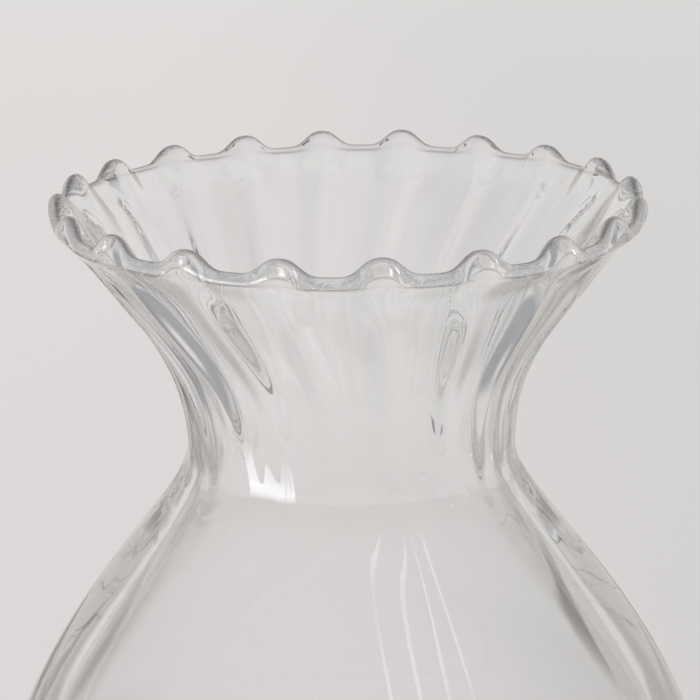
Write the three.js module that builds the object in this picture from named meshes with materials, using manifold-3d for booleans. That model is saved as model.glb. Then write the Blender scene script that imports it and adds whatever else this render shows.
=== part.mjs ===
// A free-blown clear glass vase: a ground foot, a ribbed vessel that swells, draws in to a neck and
// flares, a lip wrapped round the mouth in twenty scallops, and a drop of glass on every crest.
// Millimetres, +Z up, origin under the middle of the foot, -Y towards the viewer.

import * as THREE from 'three';
import Module from 'manifold-3d';
import { mergeVertices } from 'three/addons/utils/BufferGeometryUtils.js';

const wasm = await Module();
wasm.setup();

// Foot
const FOOT_RADIUS = 47;
const FOOT_THICKNESS = 6;
const FOOT_EDGE_ROUND = 2.4;
const REST_RING_WIDTH = 9; // ground flat that the vase stands on
const PUNTY_HOLLOW_DEPTH = 2; // polished hollow in the middle of the underside

// Outside of the vessel, each rise measured from the station below it
const BASE_RADIUS = 42; // flat bottom that sits on the foot
const BELLY_RISE = 72;
const BELLY_RADIUS = 77.4;
const NECK_RISE = 94.4;
const NECK_RADIUS = 32.9;
const FLARE_RISE = 42.5;
const SEAT_RADIUS = 52; // top edge of the wall, where the lip is wrapped on
const FLARE_LEAN = THREE.MathUtils.degToRad(35); // from the vertical

// Fullness of the outline: how far each curve keeps the direction that it starts with
const BASE_SPREAD = 22;
const BASE_CLIMB = 15;
const BELLY_FALL = 38;
const SHOULDER_FULLNESS = 48.9;
const NECK_FALL = 13.5;
const NECK_CLIMB = 19.7;
const FLARE_FULLNESS = 22.6;

// Thickness of the glass, square to the wall
const BELLY_WALL = 6;
const NECK_WALL = 2.6;
const LIP_WALL = 2.2;
const WALL_SETTLE = 26; // how far below the neck the wall grows heavy
const FLOOR_THICKNESS = 9;
const FLOOR_SPREAD = 40; // how far the inside floor runs out flat before it climbs

// Ribs
const RIB_COUNT = 20;
const RIB_HEIGHT = 1.35; // on the flare, out from the panel beside it
const RIB_FADE = 17; // how gently a rib dies away past the neck, where half of it is left
const RIB_SHARPNESS = 1.8; // above 1 the crest is narrower than the panel
const RIB_TWIST = THREE.MathUtils.degToRad(10); // swing of a rib from the lip to the neck
const CREST_PHASE = THREE.MathUtils.degToRad(5.6); // crest nearest to the viewer

// Lip and drops
const LIP_BEAD_RADIUS = 1.4;
const LIP_OUT = 5; // middle of the bead, out from the outer edge of the seat
const LIP_UP = 5.5; // and above it in a valley
const CREST_RISE = 1.5; // added to that at a crest
const DROP_WIDTH = 8; // round the mouth
const DROP_DEPTH = 4.2; // across the lip
const DROP_HEIGHT = 5.5;
const DROP_IN = 0.6; // middle of the drop, in from the middle of the bead
const DROP_LIFT = 0.7; // and above it at a crest
const DROP_SEAT_GAP = 0.3;

// Facets
const COLUMNS_PER_RIB = 4;
const LIP_COLUMNS_PER_RIB = 5;
const FOOT_COLUMNS = 64;
const OUTER_STEPS = { body: 6, shoulder: 9, flare: 7 };
const INNER_STEPS = { floor: 6, shoulder: 7, flare: 5 };
const EDGE_STEPS = 4;
const BEAD_STEPS = 6;
const DROP_SIDES = 10;
const DROP_RINGS = 6;

// Heights that follow from the sizes above
const BELLY_Z = FOOT_THICKNESS + BELLY_RISE;
const NECK_Z = BELLY_Z + NECK_RISE;
const SEAT_Z = NECK_Z + FLARE_RISE;
const FLOOR_Z = FOOT_THICKNESS + FLOOR_THICKNESS;
const FLARE_DIRECTION = new THREE.Vector2(Math.sin(FLARE_LEAN), Math.cos(FLARE_LEAN));
const SEAT_WIDTH = LIP_WALL / Math.cos(FLARE_LEAN); // level cut through the leaning wall
const SEAT_OUTSIDE = new THREE.Vector2(SEAT_RADIUS, SEAT_Z);
const SEAT_INSIDE = new THREE.Vector2(SEAT_RADIUS - SEAT_WIDTH, SEAT_Z);

const glass = { color: 0xe4e9ea, roughness: 0.04, metalness: 0, transparent: true, opacity: 0.4 };

function piece(name, geometry) {
  const mesh = new THREE.Mesh(geometry, new THREE.MeshStandardMaterial(glass));
  mesh.name = name;
  return mesh;
}

// Height of a rib's cross-section round the wall: 1 on the crest, 0 in the middle of the panel
function ribShare(angle) {
  return ((1 + Math.cos(RIB_COUNT * angle)) / 2) ** RIB_SHARPNESS;
}

// Falls off smoothly from 1 over a reach
function bell(distance, reach) {
  return Math.exp(-((distance / reach) ** 2));
}

// Ribs are full on the flare and die away past the neck
function ribHeightAt(z) {
  return RIB_HEIGHT / (1 + Math.exp((NECK_Z - z) / RIB_FADE));
}

function ribTwistAt(z) {
  return (RIB_TWIST * (SEAT_Z - Math.max(z, BELLY_Z))) / FLARE_RISE;
}

// Revolves a profile of radius and height about Z, then lets shape(angle, station, point) move every point.
// Angles start at -Y and grow towards +X.
function shapedLathe(profile, columns, shape) {
  const geometry = new THREE.LatheGeometry(profile, columns);
  const position = geometry.getAttribute('position');
  const point = new THREE.Vector2();
  for (let i = 0; i < position.count; i++) {
    const station = i % profile.length;
    const column = Math.floor(i / profile.length) % columns;
    point.copy(profile[station]);
    const turn = shape((2 * Math.PI * column) / columns, station, point);
    position.setXYZ(i, point.x * Math.sin(turn), -point.x * Math.cos(turn), point.y);
  }
  return geometry;
}

const at = (radius, z) => new THREE.Vector2(radius, z);

// Outside of the wall without its ribs, each stretch from the station below it
const BODY = new THREE.CubicBezierCurve(
  at(BASE_RADIUS, FOOT_THICKNESS),
  at(BASE_RADIUS + BASE_SPREAD, FOOT_THICKNESS + BASE_CLIMB),
  at(BELLY_RADIUS, BELLY_Z - BELLY_FALL),
  at(BELLY_RADIUS, BELLY_Z),
);
const SHOULDER = new THREE.CubicBezierCurve(
  at(BELLY_RADIUS, BELLY_Z),
  at(BELLY_RADIUS, BELLY_Z + SHOULDER_FULLNESS),
  at(NECK_RADIUS, NECK_Z - NECK_FALL),
  at(NECK_RADIUS, NECK_Z),
);
const FLARE = new THREE.CubicBezierCurve(
  at(NECK_RADIUS, NECK_Z),
  at(NECK_RADIUS, NECK_Z + NECK_CLIMB),
  SEAT_OUTSIDE.clone().addScaledVector(FLARE_DIRECTION, -FLARE_FULLNESS),
  SEAT_OUTSIDE,
);

// The wall is heavy on the belly, thin at the neck and thinner at the lip
function wallAt(z) {
  if (z > NECK_Z) return THREE.MathUtils.mapLinear(z, NECK_Z, SEAT_Z, NECK_WALL, LIP_WALL);
  return THREE.MathUtils.lerp(BELLY_WALL, NECK_WALL, bell(NECK_Z - z, WALL_SETTLE));
}

// Inside of a stretch of the wall: its outside stepped in by the thickness, square to it
function insideOf(stretch, steps) {
  return stretch.getPoints(steps).map((point, step) => {
    const along = stretch.getTangent(step / steps);
    const wall = wallAt(point.y);
    return at(point.x - wall * along.y, point.y + wall * along.x);
  });
}

function vesselGeometry() {
  const outside = [
    ...BODY.getPoints(OUTER_STEPS.body),
    ...SHOULDER.getPoints(OUTER_STEPS.shoulder).slice(1),
    ...FLARE.getPoints(OUTER_STEPS.flare).slice(1),
  ];
  const insideBelly = BELLY_RADIUS - wallAt(BELLY_Z);
  const floor = new THREE.CubicBezierCurve(
    at(0, FLOOR_Z),
    at(FLOOR_SPREAD, FLOOR_Z),
    at(insideBelly, BELLY_Z - BELLY_FALL),
    at(insideBelly, BELLY_Z),
  );
  const inside = [
    ...floor.getPoints(INNER_STEPS.floor),
    ...insideOf(SHOULDER, INNER_STEPS.shoulder).slice(1),
    ...insideOf(FLARE, INNER_STEPS.flare).slice(1, -1),
    SEAT_INSIDE,
  ];
  const profile = [at(0, FOOT_THICKNESS), ...outside, ...inside.reverse()];
  return shapedLathe(profile, RIB_COUNT * COLUMNS_PER_RIB, (angle, station, point) => {
    const isOutside = station > 0 && station <= outside.length;
    if (isOutside) point.x += ribHeightAt(point.y) * ribShare(angle);
    return angle + ribTwistAt(point.y);
  });
}

// Middle of the lip's bead at a share of the crest; a crest stands straight above the valleys beside it
function beadMiddle(crestShare) {
  return at(SEAT_RADIUS + LIP_OUT, SEAT_Z + LIP_UP + CREST_RISE * crestShare);
}

function dropGeometry(growth) {
  const drop = new THREE.SphereGeometry(1, DROP_SIDES, DROP_RINGS);
  drop.rotateX(Math.PI / 2);
  drop.scale(DROP_WIDTH / 2 + growth, DROP_DEPTH / 2 + growth, DROP_HEIGHT / 2 + growth);
  const middle = beadMiddle(1);
  return drop.translate(0, DROP_IN - middle.x, middle.y + DROP_LIFT);
}

function crestAngle(index) {
  return (2 * Math.PI * index) / RIB_COUNT;
}

function toSolid(geometry) {
  const bare = geometry.clone();
  bare.deleteAttribute('normal');
  bare.deleteAttribute('uv');
  const merged = mergeVertices(bare, 1e-3);
  const triVerts = Uint32Array.from(merged.index.array);
  const vertProperties = Float32Array.from(merged.getAttribute('position').array);
  return new wasm.Manifold(new wasm.Mesh({ numProp: 3, vertProperties, triVerts }));
}

function toGeometry(solid) {
  const { vertProperties, triVerts } = solid.getMesh();
  const geometry = new THREE.BufferGeometry();
  geometry.setAttribute('position', new THREE.BufferAttribute(vertProperties, 3));
  geometry.setIndex(new THREE.BufferAttribute(triVerts, 1));
  return geometry;
}

// Angle round the bead where a line from a point outside it touches it; side is 1 or -1
function touchAngle(point, middle, side) {
  const away = point.clone().sub(middle);
  return away.angle() + side * Math.acos(Math.min(1, LIP_BEAD_RADIUS / away.length()));
}

// A round bead on a web as wide as the seat, turned out; the bead climbs to every crest, the seat stays level
function lipGeometry() {
  const valley = beadMiddle(0);
  const start = touchAngle(SEAT_OUTSIDE, valley, 1) - 2 * Math.PI;
  const end = touchAngle(SEAT_INSIDE, valley, -1);
  const bead = Array.from({ length: BEAD_STEPS + 1 }, (_, step) => {
    const angle = THREE.MathUtils.lerp(start, end, step / BEAD_STEPS);
    return at(LIP_BEAD_RADIUS * Math.cos(angle), LIP_BEAD_RADIUS * Math.sin(angle)).add(valley);
  });
  const profile = [SEAT_INSIDE, SEAT_OUTSIDE, ...bead, SEAT_INSIDE];
  const lastBead = profile.length - 2;
  const ring = shapedLathe(profile, RIB_COUNT * LIP_COLUMNS_PER_RIB, (angle, station, point) => {
    const share = ribShare(angle);
    if (station === 1) point.x += ribHeightAt(SEAT_Z) * share;
    if (station > 1 && station <= lastBead) point.y += CREST_RISE * share;
    return angle;
  });
  let lip = toSolid(ring);
  const seat = dropGeometry(DROP_SEAT_GAP);
  for (let index = 0; index < RIB_COUNT; index++) {
    lip = lip.subtract(toSolid(seat.clone().rotateZ(crestAngle(index))));
  }
  return toGeometry(lip);
}

function footGeometry() {
  const restOutside = FOOT_RADIUS - FOOT_EDGE_ROUND;
  const restInside = restOutside - REST_RING_WIDTH;
  const hollow = new THREE.QuadraticBezierCurve(
    at(0, PUNTY_HOLLOW_DEPTH),
    at(restInside / 2, PUNTY_HOLLOW_DEPTH),
    at(restInside, 0),
  ).getPoints(EDGE_STEPS);
  const edge = (z, start) => {
    const middle = at(restOutside, z);
    return Array.from({ length: EDGE_STEPS + 1 }, (_, step) => {
      const angle = start + (Math.PI / 2) * (step / EDGE_STEPS);
      return at(FOOT_EDGE_ROUND * Math.cos(angle), FOOT_EDGE_ROUND * Math.sin(angle)).add(middle);
    });
  };
  const lowerEdge = edge(FOOT_EDGE_ROUND, -Math.PI / 2);
  const upperEdge = edge(FOOT_THICKNESS - FOOT_EDGE_ROUND, 0);
  const profile = [...hollow, ...lowerEdge, ...upperEdge, at(0, FOOT_THICKNESS)];
  return shapedLathe(profile, FOOT_COLUMNS, (angle) => angle);
}

const vase = new THREE.Group();
vase.rotation.z = CREST_PHASE;
vase.add(piece('foot', footGeometry()));
vase.add(piece('vessel', vesselGeometry()));
vase.add(piece('lip_wrap', lipGeometry()));
for (let index = 0; index < RIB_COUNT; index++) {
  const drop = piece(`rim_drop_${String(index + 1).padStart(2, '0')}`, dropGeometry(0));
  drop.rotation.z = crestAngle(index);
  vase.add(drop);
}

export default vase;
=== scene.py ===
"""Looks of a clear blown-glass vase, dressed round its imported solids.

Foot, vessel, lip and drops are fused on the real vase, so the glass is one closed skin: a meridian that runs
from the underside of the foot up the outside, over the lip and down the inside, carried round the axis while
ribs, scallops and drops swell it. Sizes are in millimetres and become metres when a mesh is made.
"""
import logging
import math
from dataclasses import dataclass, field
from enum import Enum
from typing import Tuple, Union

import bpy
import numpy as np
from mathutils import Matrix, Vector


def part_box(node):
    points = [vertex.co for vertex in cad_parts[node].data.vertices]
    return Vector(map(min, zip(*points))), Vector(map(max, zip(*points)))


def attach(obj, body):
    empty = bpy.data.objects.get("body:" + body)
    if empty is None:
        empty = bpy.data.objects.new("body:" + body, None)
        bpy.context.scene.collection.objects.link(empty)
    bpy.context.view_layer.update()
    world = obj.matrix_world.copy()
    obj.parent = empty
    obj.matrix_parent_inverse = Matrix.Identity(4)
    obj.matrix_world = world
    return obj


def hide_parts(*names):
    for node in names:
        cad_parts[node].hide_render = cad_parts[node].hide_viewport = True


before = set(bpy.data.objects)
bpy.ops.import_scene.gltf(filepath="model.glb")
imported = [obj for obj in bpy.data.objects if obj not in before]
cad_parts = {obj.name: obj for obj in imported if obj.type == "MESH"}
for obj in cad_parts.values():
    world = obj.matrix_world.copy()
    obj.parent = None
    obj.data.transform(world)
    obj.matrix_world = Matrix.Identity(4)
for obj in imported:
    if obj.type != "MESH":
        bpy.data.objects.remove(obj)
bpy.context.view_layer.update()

LOG = logging.getLogger("vase")
MM = 0.001
BOUNCES = 400
LEAST_SIDE = 1e-6
Array = np.ndarray
Pair = Tuple[float, float]
Triple = Tuple[float, float, float]


def bezier(start: Pair, start_handle: Pair, end_handle: Pair, end: Pair, steps: int) -> Array:
    """Cubic curve (1-t)^3 a + 3(1-t)^2 t b + 3(1-t) t^2 c + t^3 d.

    Args:
        start: Radius and height where the curve begins.
        start_handle: Point that the curve sets out towards.
        end_handle: Point that the curve arrives from.
        end: Radius and height where the curve ends.
        steps: How many points to take.

    Returns:
        One row of radius and height for each point.
    """
    t = np.linspace(0, 1, steps)[:, None]
    a, b, c, d = (np.array(point, dtype=float) for point in (start, start_handle, end_handle, end))
    return (1 - t) ** 3 * a + 3 * (1 - t) ** 2 * t * b + 3 * (1 - t) * t**2 * c + t**3 * d


def arc(middle: Pair, radius: float, start: float, end: float, steps: int) -> Array:
    """Points on a round edge: middle + radius (cos a, sin a) for a from start to end."""
    angle = np.linspace(start, end, steps)
    return np.stack([middle[0] + radius * np.cos(angle), middle[1] + radius * np.sin(angle)], axis=1)


def normals(line: Array) -> Array:
    """Unit normals of a line, to the right of its direction: (dz, -dr) over its length.

    Args:
        line: Points of radius and height.

    Returns:
        One row of radius and height for each point.
    """
    along = np.gradient(line, axis=0)
    across = np.stack([along[:, 1], -along[:, 0]], axis=1)
    return across / np.linalg.norm(across, axis=1, keepdims=True)


def length_to_end(line: Array) -> Array:
    """Distance along a line from each of its points to its last, as a running sum from the end."""
    steps = np.linalg.norm(np.diff(line, axis=0), axis=1)
    return np.concatenate([np.cumsum(steps[::-1])[::-1], [0.0]])


def bell(distance: Array, reach: Union[float, Array]) -> Array:
    """Falls off smoothly from 1: exp(-(distance / reach)^2)."""
    return np.exp(-((distance / reach) ** 2))


def skin_mesh(name: str, grid: Array, bands: Array, edge: Array) -> bpy.types.Object:
    """Makes a closed mesh of a grid whose first and last rows are single points on the axis.

    Each quad joins a point and the one ahead of it to the same two in the next row. A fan of triangles closes
    each end.

    Args:
        name: Name of the new object.
        grid: Points as rows, columns and coordinates; columns close on themselves.
        bands: Material slot of the faces between each row and the next.
        edge: Value of the attribute "edge" at each point: the share of painted shade lines round the lip.

    Returns:
        The object, smooth shaded, at the origin.
    """
    rows, columns = grid.shape[:2]
    inner = grid[1:-1].reshape(-1, 3)
    points = np.concatenate([inner, grid[:1, 0], grid[-1:, 0]])
    index = np.arange((rows - 2) * columns).reshape(rows - 2, columns)
    ahead = np.roll(index, -1, axis=1)
    quads = np.stack([index[:-1], ahead[:-1], ahead[1:], index[1:]], axis=-1).reshape(-1, 4)
    bottom, top = len(inner), len(inner) + 1
    first = np.stack([np.full(columns, bottom), ahead[0], index[0]], axis=-1)
    last = np.stack([index[-1], ahead[-1], np.full(columns, top)], axis=-1)
    mesh = bpy.data.meshes.new(name)
    mesh.from_pydata(points.tolist(), [], quads.tolist() + first.tolist() + last.tolist())
    mesh.polygons.foreach_set("use_smooth", np.ones(len(mesh.polygons), dtype=bool))
    order = np.concatenate([bands[1:-1], bands[:1], bands[-1:]])
    mesh.polygons.foreach_set("material_index", np.repeat(order, columns))
    # The attribute "edge" says where painted shade lines run round the lip
    values = np.concatenate([edge[1:-1].ravel(), edge[:1, 0], edge[-1:, 0]])
    mesh.attributes.new("edge", "FLOAT", "POINT").data.foreach_set("value", values)
    mesh.update()
    piece = bpy.data.objects.new(name, mesh)
    bpy.context.collection.objects.link(piece)
    return piece


def colour_mix(tree: bpy.types.NodeTree, factor: bpy.types.NodeSocket) -> bpy.types.Node:
    """Adds a mix of two colours that a socket steers.

    Args:
        tree: Node tree to add it to.
        factor: Socket whose value goes from the colour A to the colour B.

    Returns:
        The new node.
    """
    node = tree.nodes.new("ShaderNodeMix")
    node.data_type = "RGBA"
    tree.links.new(factor, node.inputs["Factor"])
    return node


@dataclass(frozen=True)
class Ripple:
    """Faint upright waves and a fine grain, shared by the finishes as a node group."""

    scale: Triple = (60.0, 60.0, 12.0)
    detail: float = 1.0
    height: float = 0.00005
    grain_scale: float = 900.0

    def group(self) -> bpy.types.NodeTree:
        """Makes the group.

        Returns:
            A shader group with the rippled normal, the height of the waves and the grain as outputs.
        """
        tree = bpy.data.node_groups.new("hand_ripple", "ShaderNodeTree")
        tree.interface.new_socket("Normal", in_out="OUTPUT", socket_type="NodeSocketVector")
        tree.interface.new_socket("Waves", in_out="OUTPUT", socket_type="NodeSocketFloat")
        tree.interface.new_socket("Grain", in_out="OUTPUT", socket_type="NodeSocketFloat")
        place = tree.nodes.new("ShaderNodeTexCoord")
        stretch = tree.nodes.new("ShaderNodeMapping")
        stretch.inputs["Scale"].default_value = self.scale
        waves = tree.nodes.new("ShaderNodeTexNoise")
        waves.inputs["Scale"].default_value = 1.0
        waves.inputs["Detail"].default_value = self.detail
        grain = tree.nodes.new("ShaderNodeTexNoise")
        grain.inputs["Scale"].default_value = self.grain_scale
        bump = tree.nodes.new("ShaderNodeBump")
        bump.inputs["Distance"].default_value = self.height
        out = tree.nodes.new("NodeGroupOutput")
        tree.links.new(place.outputs["Object"], stretch.inputs["Vector"])
        tree.links.new(place.outputs["Object"], grain.inputs["Vector"])
        tree.links.new(stretch.outputs["Vector"], waves.inputs["Vector"])
        tree.links.new(waves.outputs["Fac"], bump.inputs["Height"])
        tree.links.new(bump.outputs["Normal"], out.inputs["Normal"])
        tree.links.new(waves.outputs["Fac"], out.inputs["Waves"])
        tree.links.new(grain.outputs["Fac"], out.inputs["Grain"])
        return tree


@dataclass(frozen=True)
class GlassFinish:
    """Glass: two tints that follow its waves, a painted shade where it is seen edge-on, a painted shade along
    fine lines round the lip, and how rough it is.
    """

    name: str
    thin_colour: Triple
    thick_colour: Triple
    # Painted shade: the colour that the glass darkens to where it is seen edge-on
    grazing_shade_colour: Triple
    # Painted shade: the colour of the dark lines round the lip
    shade_line_colour: Triple
    roughness: float
    roughness_grain: float = 0.0
    index: float = 1.5
    # Painted shade: the Facing values between which the edge-on darkening comes in
    grazing_shade_from: float = 0.57
    grazing_shade_to: float = 0.7

    def colour(self, tree: bpy.types.NodeTree, waves: bpy.types.NodeSocket) -> bpy.types.NodeSocket:
        """Adds the nodes that colour the glass: by its waves, then painted shade where it is seen edge-on,
        then painted shade along the lip's fine lines.

        Args:
            tree: Node tree of the material.
            waves: Socket with the height of the waves.

        Returns:
            Socket with the colour.
        """
        body = colour_mix(tree, waves)
        body.inputs["A"].default_value = (*self.thin_colour, 1)
        body.inputs["B"].default_value = (*self.thick_colour, 1)
        # Painted shade: the glass darkens where it is seen edge-on, as the Layer Weight's Facing says
        view = tree.nodes.new("ShaderNodeLayerWeight")
        turned = tree.nodes.new("ShaderNodeMapRange")
        turned.interpolation_type = "SMOOTHSTEP"
        turned.inputs["From Min"].default_value = self.grazing_shade_from
        turned.inputs["From Max"].default_value = self.grazing_shade_to
        tree.links.new(view.outputs["Facing"], turned.inputs["Value"])
        grazing_shade = colour_mix(tree, turned.outputs["Result"])
        grazing_shade.inputs["B"].default_value = (*self.grazing_shade_colour, 1)
        tree.links.new(body.outputs["Result"], grazing_shade.inputs["A"])
        # Painted shade: dark lines round the lip, where the attribute "edge" says
        line = tree.nodes.new("ShaderNodeAttribute")
        line.attribute_name = "edge"
        tint = colour_mix(tree, line.outputs["Fac"])
        tint.inputs["B"].default_value = (*self.shade_line_colour, 1)
        tree.links.new(grazing_shade.outputs["Result"], tint.inputs["A"])
        return tint.outputs["Result"]

    def material(self, ripple: bpy.types.NodeTree) -> bpy.types.Material:
        """Makes the material with its Principled shader.

        Args:
            ripple: Node group with the outputs Normal, Waves and Grain.

        Returns:
            The new material.
        """
        material = bpy.data.materials.new(self.name)
        material.use_nodes = True
        tree = material.node_tree
        shader = tree.nodes["Principled BSDF"]
        shader.inputs["Roughness"].default_value = self.roughness
        shader.inputs["Transmission Weight"].default_value = 1.0
        shader.inputs["IOR"].default_value = self.index
        group = tree.nodes.new("ShaderNodeGroup")
        group.node_tree = ripple
        tree.links.new(self.colour(tree, group.outputs["Waves"]), shader.inputs["Base Color"])
        tree.links.new(group.outputs["Normal"], shader.inputs["Normal"])
        if self.roughness_grain:
            uneven = tree.nodes.new("ShaderNodeMapRange")
            uneven.inputs["To Min"].default_value = self.roughness - self.roughness_grain
            uneven.inputs["To Max"].default_value = self.roughness + self.roughness_grain
            tree.links.new(group.outputs["Grain"], uneven.inputs["Value"])
            tree.links.new(uneven.outputs["Result"], shader.inputs["Roughness"])
        return material


CLEAR_GLASS = GlassFinish(
    name="clear_glass",
    thin_colour=(1.0, 1.0, 1.0),
    thick_colour=(0.985, 0.988, 0.985),
    grazing_shade_colour=(0.62, 0.597, 0.565),
    shade_line_colour=(0.13, 0.125, 0.118),
    roughness=0.0,
)
GROUND_GLASS = GlassFinish(
    name="ground_glass",
    thin_colour=(0.97, 0.97, 0.96),
    thick_colour=(0.93, 0.93, 0.92),
    grazing_shade_colour=(0.88, 0.88, 0.87),
    shade_line_colour=(0.9, 0.9, 0.9),
    roughness=0.35,
    roughness_grain=0.1,
)


@dataclass(frozen=True)
class Unevenness:
    """Slow waves round the vase that a hand-made piece has, as a sum of cosines with seeded phases."""

    seed: int
    amplitude: float
    orders: Tuple[int, ...] = (2, 3, 5, 7)

    def around(self, angle: Array) -> Array:
        """Waves round the axis: amplitude / sqrt(n) times the sum of cos(order * angle + phase).

        Args:
            angle: Angles round the axis.

        Returns:
            One value for each angle.
        """
        phases = np.random.default_rng(self.seed).uniform(0, 2 * math.pi, len(self.orders))
        waves = [np.cos(order * angle + phase) for order, phase in zip(self.orders, phases)]
        return self.amplitude * np.sum(waves, axis=0) / math.sqrt(len(self.orders))


@dataclass
class GlassVase:
    """The whole vase as one closed skin of glass, in millimetres."""

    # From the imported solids
    foot_radius: float
    foot_thickness: float
    belly_radius: float
    seat_z: float
    # Foot
    foot_edge_round: float = 2.4
    rest_ring_width: float = 9.0
    punty_hollow: float = 2.0
    # Belly, neck and flare
    base_radius: float = 42.0
    belly_rise: float = 72.0
    neck_rise: float = 94.4
    neck_radius: float = 32.9
    seat_radius: float = 52.0
    flare_lean: float = math.radians(35)
    base_spread: float = 22.0
    base_climb: float = 15.0
    belly_fall: float = 38.0
    shoulder_fullness: float = 48.9
    neck_fall: float = 13.5
    neck_climb: float = 19.7
    flare_fullness: float = 22.6
    # Wall and floor
    belly_wall: float = 6.0
    neck_wall: float = 2.6
    lip_wall: float = 2.2
    wall_settle: float = 26.0
    floor_thickness: float = 9.0
    floor_spread: float = 40.0
    # Ribs
    rib_count: int = 20
    rib_height: float = 1.35
    rib_half_z: float = 186.0
    rib_fade: float = 10.0
    rib_lip_growth: float = -0.3
    rib_lip_reach: float = 8.0
    rib_sharpness: float = 1.8
    rib_twist: float = math.radians(10)
    crest_phase: float = math.radians(5.6)
    # Lip and drops
    lip_bead: float = 1.4
    lip_out: float = 4.6
    lip_up: float = 5.5
    drop_up: float = 2.2
    drop_in: float = 0.2
    drop_depth: float = 4.2
    drop_height: float = 5.5
    drop_sharpness: float = 2.4
    drop_dome: float = 0.7
    drop_waist: float = 0.3
    ray_lift: float = 0.3
    lip_from: float = math.radians(-50)
    lip_to: float = math.radians(130)
    crease_passes: int = 10
    crease_reach: int = 2
    # Painted shade: fine dark lines round the lip, along its top and under the bead outside
    shade_line_spread: float = math.radians(22)
    shade_line_on_drops: float = 0.3
    under_bead_shade_at: float = math.radians(-28)
    under_bead_shade_spread: float = math.radians(9)
    under_bead_shade_share: float = 0.8
    # Points along the skin and round it
    hollow_steps: int = 7
    ring_steps: int = 3
    foot_edge_steps: int = 6
    body_steps: int = 16
    shoulder_steps: int = 22
    flare_steps: int = 30
    rise_steps: int = 9
    lip_steps: int = 30
    fall_steps: int = 7
    inner_flare_steps: int = 24
    inner_shoulder_steps: int = 16
    floor_steps: int = 16
    columns_per_rib: int = 25
    # What the hand leaves uneven
    sway: Unevenness = Unevenness(seed=3, amplitude=math.radians(0.35))
    lilt: Unevenness = Unevenness(seed=8, amplitude=0.25)
    gather: Unevenness = Unevenness(seed=21, amplitude=0.07)
    # Worked out from the values above
    angle: Array = field(init=False)
    rib: Array = field(init=False)
    drop: Array = field(init=False)

    def __post_init__(self) -> None:
        """Works out the angles round the axis and the share of rib and drop at each."""
        columns = self.rib_count * self.columns_per_rib
        self.angle = np.arange(columns) * (2 * math.pi / columns)
        wave = (1 + np.cos(self.rib_count * self.angle)) / 2
        uneven = 1 + self.gather.around(self.angle)
        self.rib = wave**self.rib_sharpness * uneven
        bump = wave**self.drop_sharpness
        self.drop = bump * (1 + self.drop_dome * (1 - bump)) * uneven

    @property
    def belly_z(self) -> float:
        """Height of the widest ring."""
        return self.foot_thickness + self.belly_rise

    @property
    def neck_z(self) -> float:
        """Height of the narrowest ring."""
        return self.belly_z + self.neck_rise

    @property
    def lean(self) -> Array:
        """Unit direction of the flare at the lip, as radius and height."""
        return np.array([math.sin(self.flare_lean), math.cos(self.flare_lean)])

    @property
    def lip_angle(self) -> Array:
        """Directions of the rays round the lip, from under it outside to its top inside, as a column."""
        return np.linspace(self.lip_from, self.lip_to, self.lip_steps)[:, None]

    @property
    def lip_start(self) -> int:
        """Row where the lip begins, after the foot, the outside and the link to the bead.

        Returns:
            Its place among the rows of the skin.
        """
        foot = self.hollow_steps + self.ring_steps - 1 + 2 * self.foot_edge_steps - 1
        outside = self.body_steps - 1 + self.shoulder_steps + self.flare_steps - 1
        return foot + outside + self.rise_steps

    def rib_height_at(self, z: Array) -> Array:
        """Ribs are full on the flare and die away at the neck: height / (1 + exp(-(z - half) / fade))."""
        return self.rib_height / (1 + np.exp(-(z - self.rib_half_z) / self.rib_fade))

    def wall_at(self, z: Array) -> Array:
        """Thickness of the wall, square to it: heavy on the belly, thin at the neck, thinner at the lip.

        Args:
            z: Heights on the outside.

        Returns:
            One thickness for each height.
        """
        below = np.clip(self.neck_z - z, 0, None)
        above = np.clip((z - self.neck_z) / (self.seat_z - self.neck_z), 0, 1)
        heavy = (self.belly_wall - self.neck_wall) * (1 - bell(below, self.wall_settle))
        return self.neck_wall + heavy + (self.lip_wall - self.neck_wall) * above

    def revolve(self, line: Array) -> Tuple[Array, Array]:
        """Carries a plain line round the axis: its radius and height at every angle, a row for each point."""
        ones = np.ones_like(self.angle)
        return line[:, :1] * ones, line[:, 1:] * ones

    def underside(self) -> Array:
        """Line from the middle of the underside, down the hollow, over the rest ring and up the edge.

        The hollow is the parabola depth (1 - s^2), and the edge two quarter rounds.

        Returns:
            Points of radius and height.
        """
        rest_out = self.foot_radius - self.foot_edge_round
        rest_in = rest_out - self.rest_ring_width
        share = np.linspace(0, 1, self.hollow_steps)
        hollow = np.stack([rest_in * share, self.punty_hollow * (1 - share**2)], axis=1)
        across = np.linspace(rest_in, rest_out, self.ring_steps)
        ring = np.stack([across, np.zeros(self.ring_steps)], axis=1)
        steps = self.foot_edge_steps
        low = arc((rest_out, self.foot_edge_round), self.foot_edge_round, -math.pi / 2, 0, steps)
        top = self.foot_thickness - self.foot_edge_round
        high = arc((rest_out, top), self.foot_edge_round, 0, math.pi / 2, steps)
        return np.concatenate([hollow, ring[1:], low[1:], high])

    def outside_body(self) -> Array:
        """Cubic curve from the top of the foot, through a soft crease, up to the belly's widest ring.

        Returns:
            Points of radius and height.
        """
        return bezier(
            (self.base_radius, self.foot_thickness),
            (self.base_radius + self.base_spread, self.foot_thickness + self.base_climb),
            (self.belly_radius, self.belly_z - self.belly_fall),
            (self.belly_radius, self.belly_z),
            self.body_steps,
        )

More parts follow.
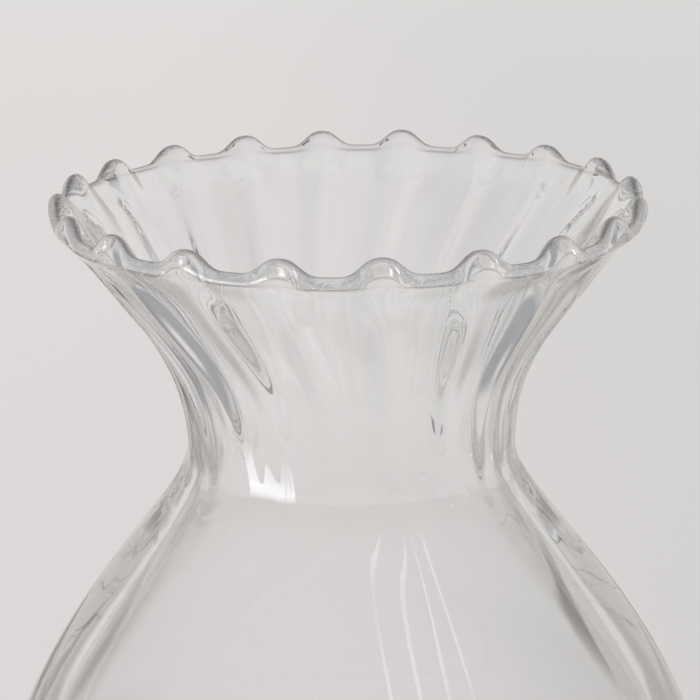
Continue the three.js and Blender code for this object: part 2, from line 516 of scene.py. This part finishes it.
    def bare_outside(self, shoulder_steps: int, flare_steps: int, rise: float) -> Array:
        """Outside without ribs, two cubic curves from the belly over the neck and past the seat of the lip.

        Args:
            shoulder_steps: Points from the belly to the neck.
            flare_steps: Points from the neck to the lip.
            rise: How far the line goes on past the seat.

        Returns:
            Points of radius and height.
        """
        shoulder = bezier(
            (self.belly_radius, self.belly_z),
            (self.belly_radius, self.belly_z + self.shoulder_fullness),
            (self.neck_radius, self.neck_z - self.neck_fall),
            (self.neck_radius, self.neck_z),
            shoulder_steps,
        )
        end = np.array([self.seat_radius, self.seat_z]) + rise * self.lean
        handle = end - (self.flare_fullness + rise) * self.lean
        flare = bezier(
            (self.neck_radius, self.neck_z),
            (self.neck_radius, self.neck_z + self.neck_climb),
            tuple(handle),
            tuple(end),
            flare_steps,
        )
        return np.concatenate([shoulder, flare[1:]])

    def bare_inside(self, shoulder_steps: int, flare_steps: int, rise: float) -> Array:
        """Inside of the same wall: the outside stepped in by the wall's thickness, square to it."""
        line = self.bare_outside(shoulder_steps, flare_steps, rise)
        return line - self.wall_at(line[:, 1:]) * normals(line)

    def inside_floor(self, inside: Pair) -> Array:
        """Cubic curve from the inside of the belly down to the middle of the floor.

        Args:
            inside: Radius and height where the inside of the belly is widest.

        Returns:
            Points of radius and height.
        """
        floor_z = self.foot_thickness + self.floor_thickness
        return bezier(
            inside,
            (inside[0], inside[1] - self.belly_fall),
            (self.floor_spread, floor_z),
            (0, floor_z),
            self.floor_steps,
        )

    def ribbed(self, line: Array) -> Tuple[Array, Array]:
        """Carries the outside round the axis with its ribs, which sink a little towards the lip.

        Each point moves out along the line's normal by the rib's height there times its share round the axis.

        Args:
            line: Bare outside from the belly to the seat of the lip.

        Returns:
            Radius and height of every point.
        """
        growth = 1 + self.rib_lip_growth * bell(length_to_end(line), self.rib_lip_reach)
        off = (growth * self.rib_height_at(line[:, 1]))[:, None] * self.rib
        across = normals(line)
        return line[:, :1] + off * across[:, :1], line[:, 1:] + off * across[:, 1:]

    def lip(self) -> Tuple[Array, Array]:
        """Bead round the mouth joined with the drop on every crest.

        In each cut through the axis the bead is a circle and the drop an ellipse above it. Both are measured
        along rays from a point inside them, t1 and t2, and (t1 + t2 + sqrt((t1 - t2)^2 + waist^2)) / 2 joins
        them with a soft waist. In a valley the ellipse is the bead itself.

        Returns:
            Radius and height of every point.
        """
        a = self.lip_angle
        x, y = np.cos(a), np.sin(a)
        ray_up = self.ray_lift * self.drop_up * self.drop
        bead = -ray_up * y + np.sqrt(self.lip_bead**2 - (ray_up * x) ** 2)
        half_depth = self.lip_bead + (self.drop_depth / 2 - self.lip_bead) * self.drop
        half_height = self.lip_bead + (self.drop_height / 2 - self.lip_bead) * self.drop
        up = (self.drop_up * self.drop - ray_up) / half_height
        x, y = x / half_depth, y / half_height
        length = x**2 + y**2
        drop = (y * up + np.sqrt((y * up) ** 2 - length * (up**2 - 1))) / length
        reach = (bead + drop + np.sqrt((bead - drop) ** 2 + (self.drop_waist * self.drop) ** 2)) / 2
        middle_z = self.seat_z + self.lip_up + self.lilt.around(self.angle) + ray_up
        middle_r = self.seat_radius + self.lip_out - self.drop_in * self.drop
        return middle_r + reach * np.cos(a), middle_z + reach * np.sin(a)

    @staticmethod
    def linked(first: Array, last: Array, steps: int) -> Array:
        """Rows evenly between two rows, without either of them."""
        share = np.linspace(0, 1, steps + 2)[1:-1, None]
        return first + share * (last - first)

    def surface(self) -> Array:
        """All rows of the skin, from the middle of the underside to the middle of the floor inside.

        A point at angle a lies at (r sin t, -r cos t, z), where t is a plus the sway, the crests' phase and a
        twist that grows with the fall below the seat of the lip, down to the belly.

        Returns:
            Points as rows, columns and x, y, z in metres.
        """
        short = self.lip_wall * math.tan(self.flare_lean)
        inside = self.bare_inside(self.inner_shoulder_steps, self.inner_flare_steps, -short)
        outer = self.ribbed(self.bare_outside(self.shoulder_steps, self.flare_steps, 0))
        inner = self.revolve(inside[::-1])
        foot = self.revolve(self.underside())
        body = self.revolve(self.outside_body()[:-1])
        floor = self.revolve(self.inside_floor(tuple(inside[0]))[1:])
        parts = zip(foot, body, outer, self.lip(), inner, floor)
        radius, height = (
            self.creased(np.concatenate([base, belly, wall]), bead, np.concatenate([back, rest]))
            for base, belly, wall, bead, back, rest in parts
        )
        fall = np.clip(self.seat_z - np.maximum(height, self.belly_z), 0, None)
        turn = self.angle + self.sway.around(self.angle) + self.crest_phase
        turn = turn + self.rib_twist * fall / (self.seat_z - self.neck_z)
        return MM * np.stack([radius * np.sin(turn), -radius * np.cos(turn), height], axis=-1)

    def edge(self, rows: int) -> Array:
        """Where painted shade lines run round the lip: exp(-((a - 90 deg) / spread)^2) on top, and a second
        line below.

        The line below is painted shade under the bead outside, narrower and of the same form, which fades out
        under each drop.

        Args:
            rows: How many rows the skin has.

        Returns:
            One value for each point, as rows and columns.
        """
        spread = self.shade_line_spread * (1 - self.shade_line_on_drops * self.drop)
        top = bell(self.lip_angle - math.pi / 2, spread)
        # Painted shade under the bead, outside
        under_bead_shade = self.under_bead_shade_share * bell(self.lip_angle - self.under_bead_shade_at, self.under_bead_shade_spread)
        under_bead_shade = np.clip(1 - self.drop, 0, 1) * under_bead_shade
        share = np.zeros((rows, len(self.angle)))
        share[self.lip_start : self.lip_start + self.lip_steps] = np.maximum(top, under_bead_shade)
        return share

    def ground(self, rows: int) -> Array:
        """Which bands between two rows are the ground rest ring under the foot.

        Args:
            rows: How many rows the skin has.

        Returns:
            1 for each band of the ring and 0 for the others.
        """
        bands = np.zeros(rows - 1, dtype=int)
        bands[self.hollow_steps - 1 : self.hollow_steps + self.ring_steps - 2] = 1
        return bands

    def creased(self, outer: Array, bead: Array, inner: Array) -> Array:
        """Joins wall, bead and wall, and softens the creases between them.

        Each pass moves every row near the lip halfway to the middle of its neighbours.

        Args:
            outer: One coordinate of the rows up to the seat of the lip outside.
            bead: The same of the rows over the lip.
            inner: The same of the rows from the seat inside downwards.

        Returns:
            That coordinate of all rows.
        """
        rise = self.linked(outer[-1], bead[0], self.rise_steps)
        fall = self.linked(bead[-1], inner[0], self.fall_steps)
        rows = np.concatenate([outer, rise, bead, fall, inner])
        near = slice(len(outer) - self.crease_reach, len(rows) - len(inner) + self.crease_reach)
        for _ in range(self.crease_passes):
            middle = (rows[near.start - 1 : near.stop - 1] + rows[near.start + 1 : near.stop + 1]) / 2
            rows[near] = (rows[near] + middle) / 2
        return rows

    def build(self, name: str) -> bpy.types.Object:
        """Makes the skin as one object of that name, without materials."""
        grid = self.surface()
        return skin_mesh(name, grid, self.ground(len(grid)), self.edge(len(grid)))

    @staticmethod
    def dress(skin: bpy.types.Object) -> None:
        """Gives the skin its two finishes, which share one ripple.

        Args:
            skin: Object whose bands are numbered as the finishes are.
        """
        ripple = Ripple().group()
        for finish in (CLEAR_GLASS, GROUND_GLASS):
            skin.data.materials.append(finish.material(ripple))


class SeenBy(Enum):
    """Which rays meet a sheet of the studio."""

    ALL = "all"
    GLASS = "glass"
    MIRROR = "mirror"


@dataclass(frozen=True)
class Sheet:
    """A flat glowing sheet of the studio, split into panes or fading out at its edges, in metres."""

    name: str
    middle: Triple
    faces: Triple
    size: Pair
    colour: Triple
    strength: float = 1.0
    panes: int = 1
    bar: float = 0.0
    fade: Pair = (0.0, 0.0)
    seen_by: SeenBy = SeenBy.GLASS

    def place(self) -> Matrix:
        """Works out where the sheet stands and which way it faces.

        Returns:
            Matrix from the sheet's own plane to the room.
        """
        normal = Vector(self.faces).normalized()
        side = Vector((0, 0, 1)).cross(normal)
        side = side.normalized() if side.length > LEAST_SIDE else Vector((1, 0, 0))
        turn = Matrix((side, normal.cross(side), normal)).transposed().to_4x4()
        return Matrix.Translation(self.middle) @ turn

    def mesh(self) -> bpy.types.Mesh:
        """Makes panes side by side in the sheet's own plane, with bars left open between them.

        Returns:
            The mesh, four corners to a pane.
        """
        wide = (self.size[0] + self.bar) / self.panes
        left = np.arange(self.panes) * wide - self.size[0] / 2
        right = left + wide - self.bar
        half = np.full(self.panes, self.size[1] / 2)
        flat = np.zeros(self.panes)
        corners = ((left, -half), (right, -half), (right, half), (left, half))
        points = np.stack([np.stack([x, y, flat], axis=-1) for x, y in corners], axis=1).reshape(-1, 3)
        quads = np.arange(4 * self.panes).reshape(-1, 4)
        mesh = bpy.data.meshes.new(self.name)
        mesh.from_pydata(points.tolist(), [], quads.tolist())
        return mesh

    def mask(self, tree: bpy.types.NodeTree) -> bpy.types.NodeSocket:
        """Adds nodes that fall from 1 to 0 towards the edges.

        Args:
            tree: Node tree of the sheet's material.

        Returns:
            Socket with the product of the falls across and along.
        """
        place = tree.nodes.new("ShaderNodeTexCoord")
        size = tree.nodes.new("ShaderNodeVectorMath")
        size.operation = "ABSOLUTE"
        split = tree.nodes.new("ShaderNodeSeparateXYZ")
        both = tree.nodes.new("ShaderNodeMath")
        both.operation = "MULTIPLY"
        tree.links.new(place.outputs["Object"], size.inputs[0])
        tree.links.new(size.outputs["Vector"], split.inputs["Vector"])
        for axis, name in enumerate("XY"):
            fall = tree.nodes.new("ShaderNodeMapRange")
            fall.interpolation_type = "SMOOTHSTEP"
            fall.inputs["From Min"].default_value = self.size[axis] / 2 * (1 - self.fade[axis])
            fall.inputs["From Max"].default_value = self.size[axis] / 2
            fall.inputs["To Min"].default_value = 1.0
            fall.inputs["To Max"].default_value = 0.0
            tree.links.new(split.outputs[name], fall.inputs["Value"])
            tree.links.new(fall.outputs["Result"], both.inputs[axis])
        return both.outputs["Value"]

    def material(self) -> bpy.types.Material:
        """Makes the sheet's glow, see-through where it fades out.

        Returns:
            The new material.
        """
        material = bpy.data.materials.new(self.name)
        material.use_nodes = True
        tree = material.node_tree
        tree.nodes.remove(tree.nodes["Principled BSDF"])
        surface = tree.nodes["Material Output"].inputs["Surface"]
        glow = tree.nodes.new("ShaderNodeEmission")
        glow.inputs["Color"].default_value = (*self.colour, 1)
        glow.inputs["Strength"].default_value = self.strength
        if not any(self.fade):
            tree.links.new(glow.outputs["Emission"], surface)
            return material
        clear = tree.nodes.new("ShaderNodeBsdfTransparent")
        blend = tree.nodes.new("ShaderNodeMixShader")
        tree.links.new(self.mask(tree), blend.inputs["Fac"])
        tree.links.new(clear.outputs["BSDF"], blend.inputs[1])
        tree.links.new(glow.outputs["Emission"], blend.inputs[2])
        tree.links.new(blend.outputs["Shader"], surface)
        return material

    def build(self) -> None:
        """Adds the sheet to the scene, where only the rays it is meant for meet it."""
        mesh = self.mesh()
        mesh.materials.append(self.material())
        sheet = bpy.data.objects.new(self.name, mesh)
        sheet.matrix_world = self.place()
        bpy.context.collection.objects.link(sheet)
        if self.seen_by is not SeenBy.ALL:
            sheet.visible_camera = False
            sheet.visible_diffuse = False
            sheet.visible_shadow = False
        if self.seen_by is SeenBy.MIRROR:
            sheet.visible_transmission = False


# Ways that the sheets face
UP = (0.0, 0.0, 1.0)
TO_VASE = (0.0, -1.0, 0.0)
TO_NECK = (0.16, 0.142, 0.066)
TO_BELLY = (-0.332, 0.575, -0.748)
FROM_LEFT = (0.335, 0.0, -0.5)
FROM_RIGHT = (-0.335, 0.0, -0.5)
# Their colours
DAYLIGHT = (0.96, 0.98, 1.0)
PALE = (0.72, 0.708, 0.695)
DIM = (0.32, 0.326, 0.34)
DUSK = (0.22, 0.213, 0.205)
BEIGE = (0.42, 0.40, 0.37)
FAINT = (0.63, 0.615, 0.605)
# Share of a sheet that fades out, across and along
SOFT = (0.6, 0.6)
SOFT_ENDS = (0.02, 0.9)
SHEETS: Tuple[Sheet, ...] = (
    Sheet("backdrop", (0.0, 3.0, 1.5), TO_VASE, (9.0, 3.2), PALE, seen_by=SeenBy.ALL),
    Sheet(
        "window",
        (-0.175, -0.18, 0.11),
        TO_NECK,
        (0.13, 0.15),
        DAYLIGHT,
        strength=8.0,
        panes=3,
        bar=0.006,
        fade=SOFT_ENDS,
        seen_by=SeenBy.MIRROR,
    ),
    Sheet(
        "blinds",
        (0.28, -0.38, 0.57),
        TO_BELLY,
        (0.34, 0.22),
        DAYLIGHT,
        strength=3.4,
        panes=4,
        bar=0.092,
        fade=SOFT_ENDS,
        seen_by=SeenBy.MIRROR,
    ),
    Sheet("left_flag", (-0.20, 0.13, 0.004), UP, (0.26, 0.26), DIM, fade=SOFT),
    Sheet("right_flag", (0.155, 0.12, 0.004), UP, (0.20, 0.20), DIM, fade=SOFT),
    Sheet("leaf_flag", (0.155, 0.25, 0.003), UP, (0.21, 0.12), FAINT, fade=SOFT),
    Sheet("left_shoulder_line", (-0.23, 0.38, 0.003), UP, (0.12, 0.24), DUSK, fade=SOFT),
    Sheet("left_shoulder_band", (-0.45, 0.32, 0.002), UP, (0.44, 0.46), BEIGE, fade=SOFT),
    Sheet("right_shoulder_line", (0.155, 0.38, 0.003), UP, (0.04, 0.24), DUSK, fade=SOFT),
    Sheet("right_shoulder_band", (0.395, 0.38, 0.002), UP, (0.45, 0.24), BEIGE, fade=SOFT),
    Sheet("left_sky", (-0.335, 0.0, 0.70), FROM_LEFT, (0.45, 0.45), DIM, strength=0.35, fade=SOFT),
    Sheet("right_sky", (0.335, 0.0, 0.70), FROM_RIGHT, (0.45, 0.45), DIM, strength=0.35, fade=SOFT),
)


@dataclass(frozen=True)
class Lamp:
    """A soft rectangular lamp that faces a point and stays out of the glass, in metres and watts."""

    name: str
    place: Triple
    size: Pair
    power: float
    aim: Triple

    def build(self) -> None:
        """Adds the lamp to the scene."""
        data = bpy.data.lights.new(self.name, "AREA")
        data.shape = "RECTANGLE"
        data.size, data.size_y = self.size
        data.energy = self.power
        lamp = bpy.data.objects.new(self.name, data)
        lamp.location = self.place
        lamp.rotation_euler = (Vector(self.aim) - Vector(self.place)).to_track_quat("-Z", "Y").to_euler()
        lamp.visible_glossy = False
        lamp.visible_transmission = False
        bpy.context.collection.objects.link(lamp)


LAMPS: Tuple[Lamp, ...] = (
    Lamp("window_light", (-1.2, -1.0, 1.3), (0.6, 1.0), power=18.0, aim=(0.0, 0.0, 0.15)),
    Lamp("overhead_light", (0.3, 0.5, 1.8), (1.2, 1.2), power=12.0, aim=(0.0, 0.0, 0.1)),
)


@dataclass(frozen=True)
class Floor:
    """Pale round floor that glows a little, more on the left and more far away, in metres."""

    radius: float = 12.0
    corners: int = 96
    colour: Triple = (0.15, 0.147, 0.145)
    glow_share: float = 0.86
    near_left: Triple = (0.657, 0.615, 0.615)
    near_right: Triple = (0.571, 0.559, 0.547)
    far_left: Triple = (0.735, 0.718, 0.705)
    far_right: Triple = (0.69, 0.675, 0.662)
    side_reach: float = 0.2
    near_to: float = 0.3
    far_from: float = 2.0

    def mesh(self) -> bpy.types.Mesh:
        """Makes one flat face with corners at radius (cos a, sin a).

        Returns:
            The mesh, level at the origin.
        """
        angle = np.arange(self.corners) * (2 * math.pi / self.corners)
        ring = np.stack([np.cos(angle), np.sin(angle), np.zeros_like(angle)], axis=-1) * self.radius
        mesh = bpy.data.meshes.new("floor")
        mesh.from_pydata(ring.tolist(), [], [list(range(self.corners))])
        return mesh

    def glow(self, tree: bpy.types.NodeTree) -> bpy.types.NodeSocket:
        """Adds nodes that mix four colours, by side and by distance from the vase.

        Args:
            tree: Node tree of the floor's material.

        Returns:
            Socket with the colour.
        """
        place = tree.nodes.new("ShaderNodeTexCoord")
        split = tree.nodes.new("ShaderNodeSeparateXYZ")
        across = tree.nodes.new("ShaderNodeMapRange")
        across.interpolation_type = "SMOOTHSTEP"
        across.inputs["From Min"].default_value = -self.side_reach
        across.inputs["From Max"].default_value = self.side_reach
        away = tree.nodes.new("ShaderNodeVectorMath")
        away.operation = "LENGTH"
        reach = tree.nodes.new("ShaderNodeMapRange")
        reach.inputs["From Min"].default_value = self.near_to
        reach.inputs["From Max"].default_value = self.far_from
        tree.links.new(place.outputs["Object"], split.inputs["Vector"])
        tree.links.new(split.outputs["X"], across.inputs["Value"])
        tree.links.new(place.outputs["Object"], away.inputs[0])
        tree.links.new(away.outputs["Value"], reach.inputs["Value"])
        glow = colour_mix(tree, reach.outputs["Result"])
        pairs = (("A", self.near_left, self.near_right), ("B", self.far_left, self.far_right))
        for socket, left, right in pairs:
            side = colour_mix(tree, across.outputs["Result"])
            side.inputs["A"].default_value = (*left, 1)
            side.inputs["B"].default_value = (*right, 1)
            tree.links.new(side.outputs["Result"], glow.inputs[socket])
        return glow.outputs["Result"]

    def build(self) -> None:
        """Adds the floor to the scene with its material."""
        floor = bpy.data.objects.new("floor", self.mesh())
        bpy.context.collection.objects.link(floor)
        material = bpy.data.materials.new("pale_floor")
        material.use_nodes = True
        tree = material.node_tree
        shader = tree.nodes["Principled BSDF"]
        shader.inputs["Base Color"].default_value = (*self.colour, 1)
        shader.inputs["Roughness"].default_value = 1.0
        shader.inputs["Specular IOR Level"].default_value = 0.0
        shader.inputs["Emission Strength"].default_value = self.glow_share
        tree.links.new(self.glow(tree), shader.inputs["Emission Color"])
        floor.data.materials.append(material)


@dataclass(frozen=True)
class Room:
    """Soft light from all round, dim at eye level and pale towards the ceiling."""

    low_colour: Triple = (0.22, 0.212, 0.205)
    high_colour: Triple = (0.66, 0.672, 0.69)
    low_to: float = 0.3
    high_from: float = 0.72

    def build(self) -> None:
        """Makes the world, whose colour follows the height that a direction points to."""
        world = bpy.data.worlds.new("room")
        world.use_nodes = True
        tree = world.node_tree
        place = tree.nodes.new("ShaderNodeTexCoord")
        split = tree.nodes.new("ShaderNodeSeparateXYZ")
        ramp = tree.nodes.new("ShaderNodeValToRGB")
        low, high = ramp.color_ramp.elements
        low.position, low.color = self.low_to, (*self.low_colour, 1)
        high.position, high.color = self.high_from, (*self.high_colour, 1)
        tree.links.new(place.outputs["Generated"], split.inputs["Vector"])
        tree.links.new(split.outputs["Z"], ramp.inputs["Fac"])
        tree.links.new(ramp.outputs["Color"], tree.nodes["Background"].inputs["Color"])
        bpy.context.scene.world = world


@dataclass(frozen=True)
class PhotoCamera:
    """Camera at the photograph's viewing angle, in metres, and millimetres of lens."""

    back: float = 0.403
    up: float = 0.3154
    pitch: float = math.radians(17.096)
    roll: float = math.radians(-0.687)
    lens: float = 108.25
    sensor: float = 36.0
    clip_end: float = 100.0

    def build(self) -> None:
        """Adds the camera and makes it the scene's own."""
        data = bpy.data.cameras.new("camera")
        data.lens = self.lens
        data.sensor_width = self.sensor
        data.clip_end = self.clip_end
        camera = bpy.data.objects.new("camera", data)
        tilt = Matrix.Rotation(math.pi / 2 - self.pitch, 4, "X") @ Matrix.Rotation(self.roll, 4, "Z")
        camera.matrix_world = Matrix.Translation((0, -self.back, self.up)) @ tilt
        bpy.context.collection.objects.link(camera)
        bpy.context.scene.camera = camera


def build_vase() -> None:
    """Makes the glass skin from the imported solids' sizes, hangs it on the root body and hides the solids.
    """
    foot_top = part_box("foot")[1]
    vessel_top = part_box("vessel")[1]
    vase = GlassVase(
        foot_radius=foot_top[0] / MM,
        foot_thickness=foot_top[2] / MM,
        belly_radius=vessel_top[0] / MM,
        seat_z=vessel_top[2] / MM,
    )
    skin = vase.build("glass_skin")
    vase.dress(skin)
    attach(skin, "root")
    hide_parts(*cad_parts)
    LOG.info("glass_skin: %d points, %d faces", len(skin.data.vertices), len(skin.data.polygons))


def build_studio() -> None:
    """Makes camera, floor, room, lamps and sheets, and lets light pass the glass many times."""
    scene = bpy.context.scene
    scene.view_settings.view_transform = "Standard"
    scene.cycles.max_bounces = BOUNCES
    scene.cycles.transmission_bounces = BOUNCES
    scene.cycles.glossy_bounces = BOUNCES
    for part in (PhotoCamera(), Floor(), Room(), *LAMPS, *SHEETS):
        part.build()


def main() -> None:
    """Builds the vase and its studio."""
    logging.basicConfig(level=logging.INFO, format="%(name)s: %(message)s")
    build_vase()
    build_studio()


if __name__ == "__main__":
    main()
